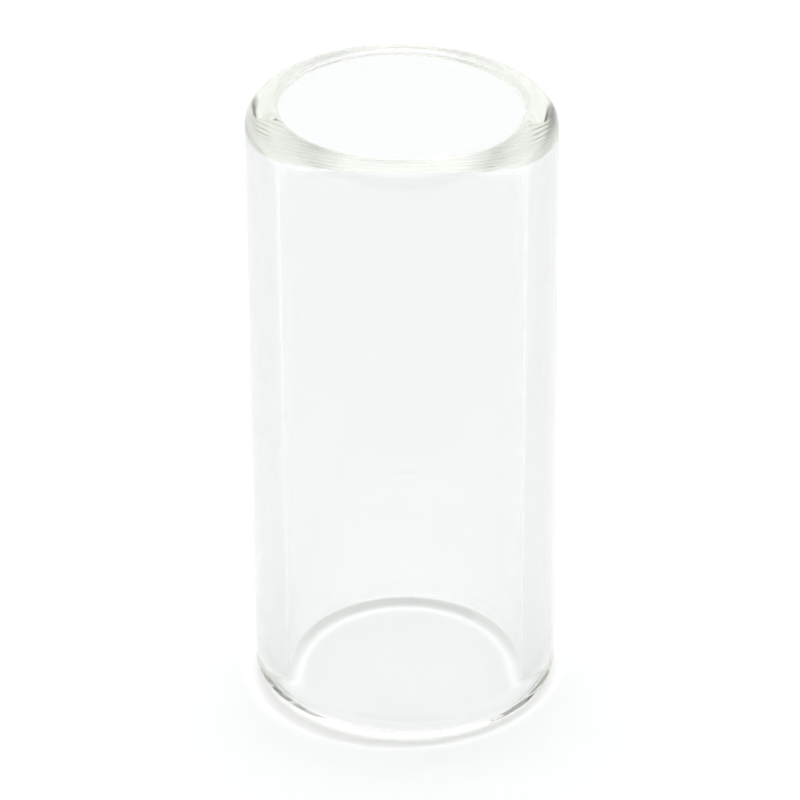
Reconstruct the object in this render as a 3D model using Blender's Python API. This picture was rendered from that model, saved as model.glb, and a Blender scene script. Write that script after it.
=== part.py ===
"""Glass guitar slide: one straight, thick-walled glass tube, open at both ends.

A player wears it on a finger and runs its outer wall along the strings. Both
ends are fire-polished: the flame rounds the upper end mostly on its outer edge,
and the lower end mostly on the bore's edge, so its crest is farther out.
Between its two rounded edges each rim keeps a narrow flat ring. The tube
stands on the lower one.

Metres, +Z up. The origin is on the tube's axis, at the plane it stands on.
"""

import math

import bmesh
import bpy
from mathutils import Vector

# Driving dimensions
OUTER_DIAMETER = 0.0280
BORE_DIAMETER = 0.0220
LENGTH = 0.0595

# Rounded edges: how far each reaches across the rim, and along the tube
UPPER_OUTER_EDGE = (0.0020, 0.0022)
UPPER_BORE_EDGE = (0.0005, 0.0005)
LOWER_OUTER_EDGE = (0.0011, 0.0014)
LOWER_BORE_EDGE = (0.0014, 0.0019)

# Mesh resolution
SEGMENTS = 96  # around the axis
OUTER_EDGE_STEPS = 8
UPPER_BORE_EDGE_STEPS = 4
LOWER_BORE_EDGE_STEPS = 8

# Clear glass with the faint green of its iron content
GLASS_COLOUR = (0.965, 0.985, 0.97, 1.0)
GLASS_ROUGHNESS = 0.02
GLASS_IOR = 1.5


def clear_scene():
    for obj in list(bpy.data.objects):
        bpy.data.objects.remove(obj, do_unlink=True)


def corner(wall_r, rim_z, outward, upward, size, start_deg, end_deg, steps):
    """Points of a rounded corner in the (r, z) half-plane, both ends included:
    a quarter of an ellipse between the wall at wall_r and the rim at rim_z.
    outward and upward are +1 or -1: which way its centre lies from the corner."""
    across, along = size
    centre_r = wall_r + outward * across
    centre_z = rim_z + upward * along
    points = []
    for i in range(steps + 1):
        angle = math.radians(start_deg + (end_deg - start_deg) * i / steps)
        points.append(
            (
                centre_r + across * math.cos(angle),
                centre_z + along * math.sin(angle),
            )
        )
    return points


def wall_section():
    """The wall's closed section: down the outer side, in along the lower rim,
    up the bore, and out along the upper rim."""
    outer_r = OUTER_DIAMETER / 2
    bore_r = BORE_DIAMETER / 2
    section = []
    section += corner(
        outer_r, LENGTH, -1, -1, UPPER_OUTER_EDGE, 90, 0, OUTER_EDGE_STEPS
    )
    section += corner(outer_r, 0.0, -1, 1, LOWER_OUTER_EDGE, 0, -90, OUTER_EDGE_STEPS)
    section += corner(
        bore_r, 0.0, 1, 1, LOWER_BORE_EDGE, 270, 180, LOWER_BORE_EDGE_STEPS
    )
    section += corner(
        bore_r, LENGTH, 1, -1, UPPER_BORE_EDGE, 180, 90, UPPER_BORE_EDGE_STEPS
    )
    return section


def section_mesh(name, section):
    """The section as a closed loop of edges in the XZ plane, at +X."""
    mesh = bpy.data.meshes.new(name)
    bm = bmesh.new()
    verts = [bm.verts.new(Vector((r, 0.0, z))) for r, z in section]
    for a, b in zip(verts, verts[1:] + verts[:1]):
        bm.edges.new((a, b))
    bm.to_mesh(mesh)
    bm.free()
    return mesh


def glass_material():
    material = bpy.data.materials.new("clear_glass")
    material.use_nodes = True
    shader = material.node_tree.nodes["Principled BSDF"]
    shader.inputs["Base Color"].default_value = GLASS_COLOUR
    shader.inputs["Roughness"].default_value = GLASS_ROUGHNESS
    shader.inputs["Metallic"].default_value = 0.0
    shader.inputs["IOR"].default_value = GLASS_IOR
    shader.inputs["Transmission Weight"].default_value = 1.0
    material.diffuse_color = GLASS_COLOUR
    return material


def turned(obj, segments):
    """Turns the object's section once round Z into a closed ring, and keeps it."""
    screw = obj.modifiers.new("turn", "SCREW")
    screw.axis = "Z"
    screw.angle = 2 * math.pi
    screw.screw_offset = 0.0
    screw.steps = segments
    screw.render_steps = segments
    screw.use_merge_vertices = True
    screw.merge_threshold = 0.000001
    screw.use_smooth_shade = True
    bpy.context.view_layer.objects.active = obj
    obj.select_set(True)
    bpy.ops.object.modifier_apply(modifier=screw.name)
    obj.select_set(False)


def make_glass_tube():
    obj = bpy.data.objects.new("glass_tube", section_mesh("glass_tube", wall_section()))
    bpy.context.scene.collection.objects.link(obj)
    turned(obj, SEGMENTS)
    obj.data.shade_smooth()
    obj.data.set_sharp_from_angle(angle=math.radians(40))
    obj.data.materials.append(glass_material())
    return obj


def main():
    clear_scene()
    make_glass_tube()


main()
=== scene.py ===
import math

import bpy
import numpy as np
from mathutils import Matrix, Vector


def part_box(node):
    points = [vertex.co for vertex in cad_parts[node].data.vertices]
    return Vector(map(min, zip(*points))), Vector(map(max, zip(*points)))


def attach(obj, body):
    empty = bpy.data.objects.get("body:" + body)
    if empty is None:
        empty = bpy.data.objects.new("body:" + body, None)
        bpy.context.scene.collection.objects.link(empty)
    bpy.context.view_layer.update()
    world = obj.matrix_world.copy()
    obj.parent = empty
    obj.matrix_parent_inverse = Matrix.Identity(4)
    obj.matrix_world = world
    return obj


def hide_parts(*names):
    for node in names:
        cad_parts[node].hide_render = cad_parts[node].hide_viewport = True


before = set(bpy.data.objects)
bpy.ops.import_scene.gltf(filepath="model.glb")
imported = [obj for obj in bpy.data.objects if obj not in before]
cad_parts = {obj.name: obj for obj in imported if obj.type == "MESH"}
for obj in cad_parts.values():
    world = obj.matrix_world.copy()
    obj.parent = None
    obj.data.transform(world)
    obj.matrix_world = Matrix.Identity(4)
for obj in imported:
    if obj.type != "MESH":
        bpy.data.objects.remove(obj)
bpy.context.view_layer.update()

MM = 0.001
low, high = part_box("glass_tube")
R = (high.x - low.x) / 2 / MM  # outer radius, mm
L = (high.z - low.z) / MM  # length, mm
BORE = 11.0  # bore radius, mm

# ---------------------------------------------------------------- glass mesh
TURNS = 720  # vertices around
FRONT = -math.pi / 2  # the side that faces the camera


def bump(phi, degrees, width):
    """1 at an angle round the axis, fading to 0 on both sides of it."""
    d = np.angle(np.exp(1j * (phi - math.radians(degrees))))
    return np.exp(-((d / math.radians(width)) ** 2))


def quarter(power, count):
    """Unit quarter of a superellipse, from the crest (0, 1) to the wall (1, 0)."""
    t = math.pi / 2 * np.arange(count + 1) / count
    return np.sin(t) ** (2 / power), np.cos(t) ** (2 / power)


def make_tube():
    phi = (np.arange(TURNS) * 2 * math.pi / TURNS)[:, None]
    # the flame left both rims slightly uneven
    side = np.tanh(1.6 * np.cos(phi)) / 0.92  # +1 on the right, -1 on the left
    top = -0.37 * np.cos(phi - 1.21) - 0.396 * bump(phi, -43, 28) - 0.05 * bump(phi, 45, 32)
    top = L + top - top.max()
    bottom = 0.50 * bump(phi, -128, 38)
    crest_top = BORE + 0.548 + 0.03 * np.cos(2 * phi + 0.8)
    crest_low = BORE + 1.90 + 0.05 * np.cos(2 * phi - 0.5)
    reach_top = 2.12 + 0.25 * bump(phi, 40, 35)
    reach_low = 1.30 - 0.26 * side
    edge_top = 0.373 + 0.03 * np.cos(phi - 1.0)
    edge_low = 1.9 - 0.6 * np.sin(phi) + 0.1 * np.cos(phi + 2.0)
    # drawing the tube left very faint lines along its walls
    outer = R - 0.0016 * (1.2 + np.cos(5 * phi + 0.4) * 0.6 + np.cos(13 * phi + 1.9) * 0.3)
    outer = outer - (outer.max() - R)
    bore = BORE + 0.004 * np.cos(3 * phi + 0.9) + 0.002 * np.cos(8 * phi - 0.6)

    cols = []  # (r, z) columns round the closed section, from the upper crest out

    def arc(crest_r, crest_z, wall_r, wall_z, power, count, skip_first=False, back=False):
        u, v = quarter(power, count)
        pts = [
            (crest_r + (wall_r - crest_r) * uu, wall_z + (crest_z - wall_z) * vv)
            for uu, vv in zip(u, v)
        ]
        if back:
            pts = pts[::-1]
        if skip_first:
            pts = pts[1:]
        cols.extend(pts)

    def wall(wall_r, z0, z1, count):
        cols.extend((wall_r, z0 + (z1 - z0) * i / count) for i in range(1, count))

    arc(crest_top, top, outer, top - reach_top, 2.0, 30)
    wall(outer, top - reach_top, bottom + reach_low, 14)
    arc(crest_low, bottom, outer, bottom + reach_low, 2.0, 30, back=True)
    arc(crest_low, bottom, bore, bottom + edge_low, 2.0, 20, skip_first=True)
    wall(bore, bottom + edge_low, top - edge_top, 12)
    arc(crest_top, top, bore, top - edge_top, 2.0, 14, back=True)
    cols.pop()
    one = np.ones_like(phi)
    r = np.concatenate([c[0] * one for c in cols], 1)
    z = np.concatenate([c[1] * one for c in cols], 1)
    m = r.shape[1]
    co = np.stack([r * np.cos(phi) * MM, r * np.sin(phi) * MM, z * MM], -1).reshape(-1, 3)
    i = np.arange(TURNS)[:, None]
    j = np.arange(m)[None, :]
    i2, j2 = (i + 1) % TURNS, (j + 1) % m
    # the section runs clockwise seen from -Y at +X, so this order faces out
    quads = np.stack(
        [i * m + j, i * m + j2, i2 * m + j2, i2 * m + j], -1
    ).reshape(-1, 4)
    me = bpy.data.meshes.new("glass_tube_fine")
    me.vertices.add(len(co))
    me.vertices.foreach_set("co", co.astype(np.float32).ravel())
    me.loops.add(quads.size)
    me.polygons.add(len(quads))
    me.loops.foreach_set("vertex_index", quads.ravel().astype(np.int32))
    me.polygons.foreach_set("loop_start", np.arange(0, quads.size, 4, dtype=np.int32))
    me.update(calc_edges=True)
    me.validate()
    me.shade_smooth()
    ob = bpy.data.objects.new("glass_tube_fine", me)
    bpy.context.scene.collection.objects.link(ob)
    return ob


# ---------------------------------------------------------------- materials
def ramp(nt, value, stops):
    """A colour ramp over value; stops are (position, colour)."""
    node = nt.nodes.new("ShaderNodeValToRGB")
    points = node.color_ramp.elements
    for k, (pos, colour) in enumerate(stops):
        point = points[k] if k < 2 else points.new(pos)
        point.position = pos
        point.color = (*colour, 1)
    nt.links.new(value, node.inputs["Fac"])
    return node.outputs["Color"]


def noise(nt, scale, detail=2.0, squash=(1, 1, 1)):
    coords = nt.nodes.new("ShaderNodeTexCoord")
    place = nt.nodes.new("ShaderNodeMapping")
    place.inputs["Scale"].default_value = squash
    nt.links.new(coords.outputs["Object"], place.inputs["Vector"])
    node = nt.nodes.new("ShaderNodeTexNoise")
    node.inputs["Scale"].default_value = scale
    node.inputs["Detail"].default_value = detail
    nt.links.new(place.outputs["Vector"], node.inputs["Vector"])
    return node.outputs["Fac"]


def glass_material():
    mat = bpy.data.materials.new("clear_glass_fine")
    mat.use_nodes = True
    nt = mat.node_tree
    sh = nt.nodes["Principled BSDF"]
    out = nt.nodes["Material Output"]
    # painted shade: the outer wall's base colour darkens where it is seen edge on, so the
    # sides of the tube read greyer than the middle
    weight = nt.nodes.new("ShaderNodeLayerWeight")
    weight.inputs["Blend"].default_value = 0.5
    coords = nt.nodes.new("ShaderNodeTexCoord")
    flat = nt.nodes.new("ShaderNodeVectorMath")
    flat.operation = "MULTIPLY"
    flat.inputs[1].default_value = (1, 1, 0)
    nt.links.new(coords.outputs["Object"], flat.inputs[0])
    radius = nt.nodes.new("ShaderNodeVectorMath")
    radius.operation = "LENGTH"
    nt.links.new(flat.outputs["Vector"], radius.inputs[0])
    outside = nt.nodes.new("ShaderNodeMapRange")
    outside.inputs["From Min"].default_value = 12.2 * MM
    outside.inputs["From Max"].default_value = 13.4 * MM
    nt.links.new(radius.outputs["Value"], outside.inputs["Value"])
    painted_edge_shade_mask = nt.nodes.new("ShaderNodeMath")
    painted_edge_shade_mask.operation = "MULTIPLY"
    nt.links.new(weight.outputs["Facing"], painted_edge_shade_mask.inputs[0])
    nt.links.new(outside.outputs["Result"], painted_edge_shade_mask.inputs[1])
    # an even light grey glass tone, with painted shade on the sides of the tube above a
    # facing of about 0.47
    grey_and_painted_edge_shade = ramp(nt, painted_edge_shade_mask.outputs["Value"], [
        (0.000, (0.917, 0.920, 0.919)),
        (0.250, (0.915, 0.918, 0.917)),
        (0.400, (0.905, 0.909, 0.906)),
        (0.470, (0.885, 0.890, 0.886)),
        (0.495, (0.740, 0.747, 0.741)),
        (0.600, (0.710, 0.718, 0.710)),
        (1.000, (0.620, 0.630, 0.620)),
    ])
    nt.links.new(grey_and_painted_edge_shade, sh.inputs["Base Color"])
    # handling leaves the polish a touch less sharp in patches
    haze = ramp(nt, noise(nt, 90.0, 3.0), [(0.55, (0.0,) * 3), (0.85, (0.003,) * 3)])
    nt.links.new(haze, sh.inputs["Roughness"])
    sh.inputs["IOR"].default_value = 1.5
    sh.inputs["Transmission Weight"].default_value = 1.0
    vol = nt.nodes.new("ShaderNodeVolumeAbsorption")
    vol.inputs["Color"].default_value = (0.75, 0.88, 0.35, 1.0)
    vol.inputs["Density"].default_value = 1.0
    nt.links.new(vol.outputs["Volume"], out.inputs["Volume"])
    return mat


def floor_material():
    mat = bpy.data.materials.new("pale_floor")
    mat.use_nodes = True
    nt = mat.node_tree
    sh = nt.nodes["Principled BSDF"]
    # smooth card with a very faint mottle
    paper = ramp(nt, noise(nt, 400.0, 4.0), [
        (0.30, (0.926, 0.930, 0.938)),
        (0.70, (0.934, 0.938, 0.944)),
    ])
    nt.links.new(paper, sh.inputs["Base Color"])
    sh.inputs["Roughness"].default_value = 0.9
    sh.inputs["Specular IOR Level"].default_value = 0.2
    return mat


tube = make_tube()
tube.data.materials.append(glass_material())
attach(tube, "root")
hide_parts("glass_tube")

# ---------------------------------------------------------------- stage
bpy.ops.mesh.primitive_plane_add(size=8.0, location=(0, 0, -0.00005))
floor = bpy.context.object
floor.name = "floor"
floor.data.materials.append(floor_material())

world = bpy.data.worlds.new("soft_studio")
bpy.context.scene.world = world
world.use_nodes = True
wn = world.node_tree
wn.nodes.clear()

# (azimuth, elevation, inner, outer, strength): round soft regions of the
# surroundings, degrees. Azimuth 0 is behind the camera and 90 is on the right.
SURROUND = (0.975, 0.978, 0.975)
UPPER = 0.95  # level of the room above the horizon band
HORIZON = 1.15  # level of the pale sweep round the table
SWEEP = (0.30, 0.55)  # heights, as sines, over which one turns into the other
REGIONS = [
    (0, 30, 22, 44, -0.90),
    (180, 80, 14, 44, 1.55),
    (60, 48, 8, 30, -0.5),
    (300, 48, 8, 30, -0.5),
]


def direction(az, el):
    a, e = math.radians(az - 90), math.radians(el)
    return (math.cos(e) * math.cos(a), math.cos(e) * math.sin(a), math.sin(e))


def world_nodes():
    coords = wn.nodes.new("ShaderNodeTexCoord")

    def ramp_of(value, low, high, start, end):
        ramp = wn.nodes.new("ShaderNodeMapRange")
        ramp.interpolation_type = "SMOOTHERSTEP"
        ramp.inputs["From Min"].default_value = low
        ramp.inputs["From Max"].default_value = high
        ramp.inputs["To Min"].default_value = start
        ramp.inputs["To Max"].default_value = end
        wn.links.new(value, ramp.inputs["Value"])
        return ramp.outputs["Result"]

    def dot_with(axis):
        dot = wn.nodes.new("ShaderNodeVectorMath")
        dot.operation = "DOT_PRODUCT"
        wn.links.new(coords.outputs["Generated"], dot.inputs[0])
        dot.inputs[1].default_value = axis
        return dot.outputs["Value"]

    total = ramp_of(dot_with((0, 0, 1)), *SWEEP, HORIZON, UPPER)
    for az, el, inner, outer, strength in REGIONS:
        part = ramp_of(
            dot_with(direction(az, el)),
            math.cos(math.radians(outer)),
            math.cos(math.radians(inner)),
            0.0,
            strength,
        )
        add = wn.nodes.new("ShaderNodeMath")
        wn.links.new(total, add.inputs[0])
        wn.links.new(part, add.inputs[1])
        total = add.outputs[0]
    darkest = wn.nodes.new("ShaderNodeMath")
    darkest.operation = "MAXIMUM"
    darkest.inputs[1].default_value = 0.04
    wn.links.new(total, darkest.inputs[0])
    total = darkest.outputs[0]
    bg = wn.nodes.new("ShaderNodeBackground")
    bg.inputs["Color"].default_value = (*SURROUND, 1)
    wn.links.new(total, bg.inputs["Strength"])
    out = wn.nodes.new("ShaderNodeOutputWorld")
    wn.links.new(bg.outputs["Background"], out.inputs["Surface"])


world_nodes()
world.cycles.sampling_method = "AUTOMATIC"

# ---------------------------------------------------------------- camera
FOCAL_PX, DISTANCE_R, PITCH, ROLL, YAW_OFF, PITCH_OFF = (
    5443.54, 36.6974, 0.581595, -0.006359, -0.000648, 0.047715)


def make_camera():
    d = DISTANCE_R * 14.0 * MM
    pos = Vector((0, -d * math.cos(PITCH), d * math.sin(PITCH)))
    fwd = Vector((0, math.cos(PITCH), -math.sin(PITCH)))
    right = Vector((1, 0, 0))
    up = right.cross(fwd)
    fwd, right = (
        fwd * math.cos(YAW_OFF) + right * math.sin(YAW_OFF),
        right * math.cos(YAW_OFF) - fwd * math.sin(YAW_OFF),
    )
    fwd, up = (
        fwd * math.cos(PITCH_OFF) + up * math.sin(PITCH_OFF),
        up * math.cos(PITCH_OFF) - fwd * math.sin(PITCH_OFF),
    )
    right, up = (
        right * math.cos(ROLL) + up * math.sin(ROLL),
        up * math.cos(ROLL) - right * math.sin(ROLL),
    )
    cam = bpy.data.cameras.new("camera")
    cam.sensor_width = 36.0
    cam.lens = FOCAL_PX / 800 * 36.0
    cam.clip_start = 0.01
    cam.clip_end = 50
    ob = bpy.data.objects.new("camera", cam)
    m = Matrix((right, up, -fwd)).transposed().to_4x4()
    m.translation = pos
    ob.matrix_world = m
    bpy.context.scene.collection.objects.link(ob)
    bpy.context.scene.camera = ob
    return ob


make_camera()

sc = bpy.context.scene
sc.view_settings.view_transform = "Standard"
sc.cycles.blur_glossy = 0.0
sc.cycles.max_bounces = 64
sc.cycles.glossy_bounces = 64
sc.cycles.transmission_bounces = 64
sc.cycles.diffuse_bounces = 4
sc.cycles.transparent_max_bounces = 16

bpy.context.view_layer.update()
